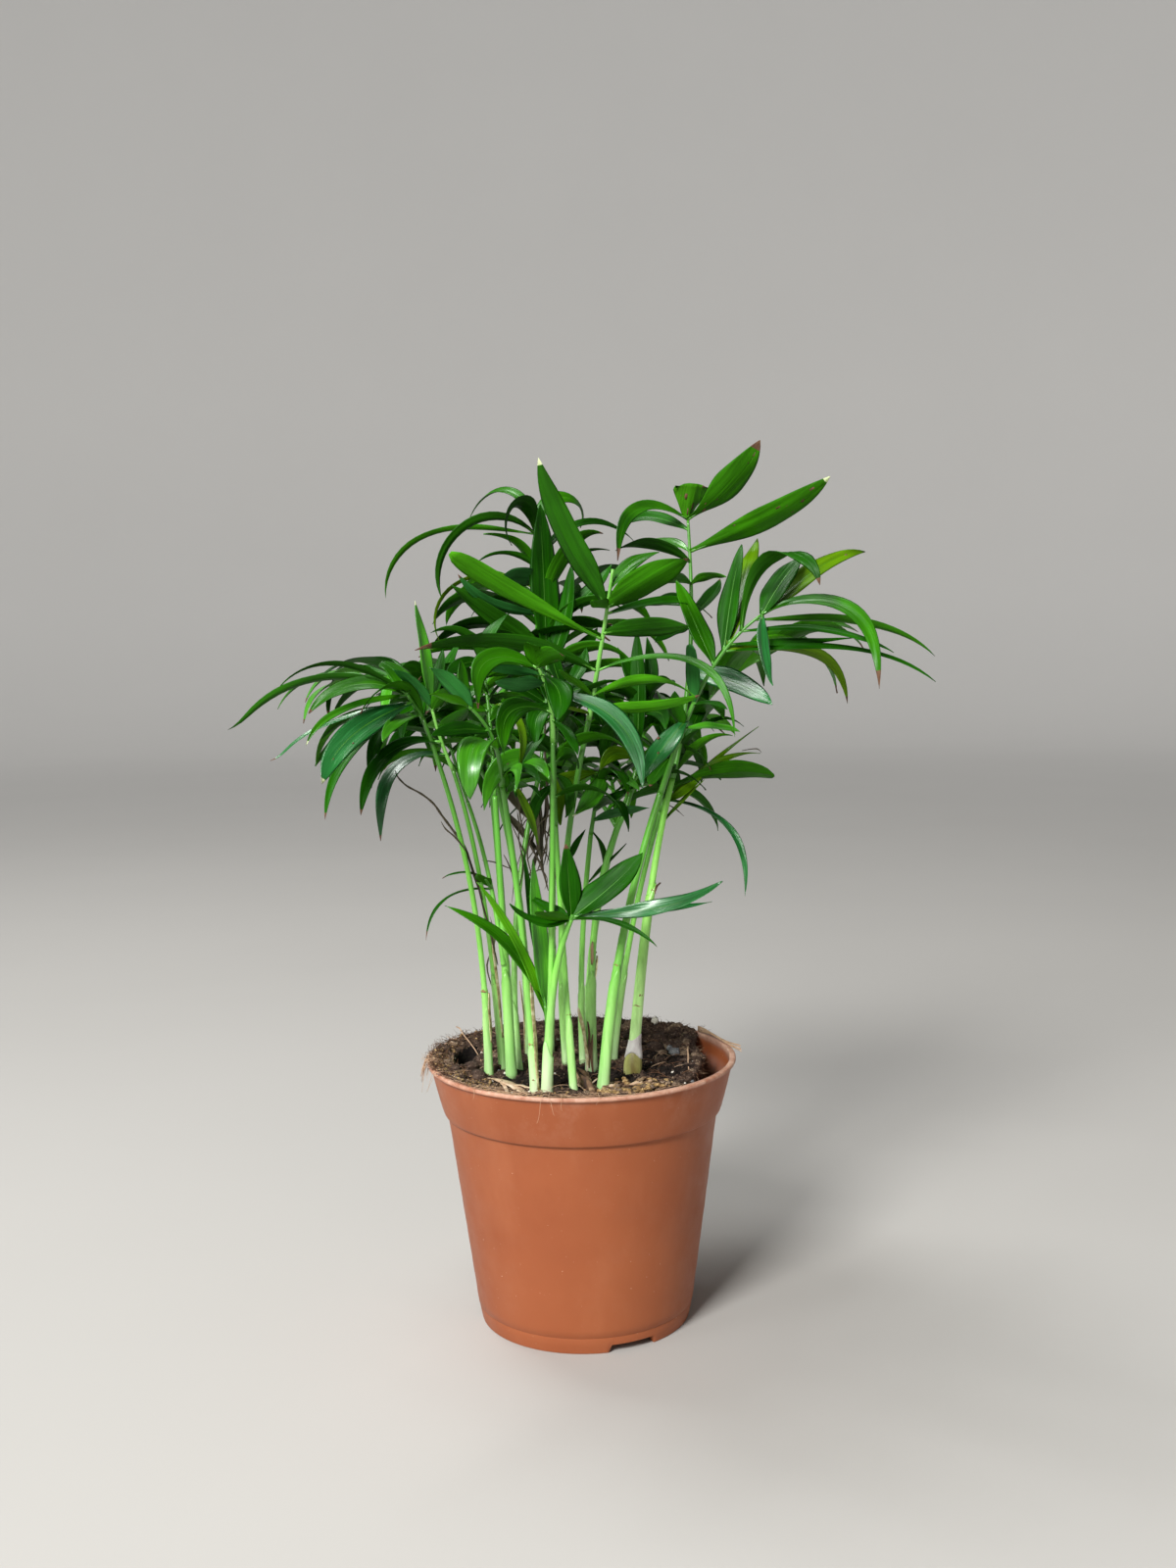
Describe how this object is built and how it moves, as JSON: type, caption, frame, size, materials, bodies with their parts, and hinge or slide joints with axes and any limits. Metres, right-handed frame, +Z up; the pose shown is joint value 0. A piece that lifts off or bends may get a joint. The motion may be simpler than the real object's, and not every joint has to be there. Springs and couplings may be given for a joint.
{
  "type": "potted parlour palm",
  "caption": "Young parlour palm: slender cane stems with feathered, arching fronds, rooted in a plain round plastic nursery pot filled with peat.",
  "frame": {"origin": "centre of the pot's flat underside, on the surface the pot stands on", "axes": "+Z up along the pot's axis, +X to the right and -Y towards the viewer's side"},
  "size_m": [0.2581, 0.2167, 0.3378],
  "materials": {
    "pot": "plain terracotta-coloured moulded plastic, faintly dusty",
    "soil": "dark moist peat with tan coir fibres",
    "stem": "smooth pale green cane, paler at the foot",
    "leaf": "glossy green leaflet, ribbed lengthwise"
  },
  "bodies": {
    "root": {"pot": "pot", "soil": "soil", "stem_left": "stem", "stem_left_second": "stem", "stem_left_third": "stem", "stem_left_third_branch": "stem", "stem_left_inner": "stem", "stem_front_left": "stem", "stem_front": "stem", "stem_front_branch": "stem", "stem_front_right": "stem", "stem_middle": "stem", "stem_middle_right": "stem", "stem_middle_right_twin": "stem", "stem_right": "stem", "stem_right_twin": "stem", "stem_far_right": "stem", "stem_back_left": "stem", "stem_back_middle": "stem", "stem_back_right": "stem", "stem_back_far_right": "stem", "stem_back_far_left": "stem", "frond_middle": "leaf", "frond_front": "leaf", "frond_front_left": "leaf", "frond_front_left_small": "leaf", "frond_left": "leaf", "frond_left_lower": "leaf", "frond_left_inner": "leaf", "frond_left_middle": "leaf", "frond_top_left": "leaf", "frond_low_front": "leaf", "frond_top_right": "leaf", "frond_right": "leaf", "frond_right_lower": "leaf", "frond_middle_right": "leaf", "frond_middle_low": "leaf", "frond_middle_inner": "leaf", "frond_low_left": "leaf", "frond_low_spears": "leaf", "frond_back_01": "leaf", "frond_back_02": "leaf", "frond_back_03": "leaf", "frond_back_04": "leaf", "frond_back_05": "leaf", "frond_back_06": "leaf", "frond_back_07": "leaf", "frond_back_08": "leaf", "frond_back_09": "leaf", "frond_back_10": "leaf", "frond_back_11": "leaf", "frond_back_12": "leaf"}
  },
  "joints": []
}
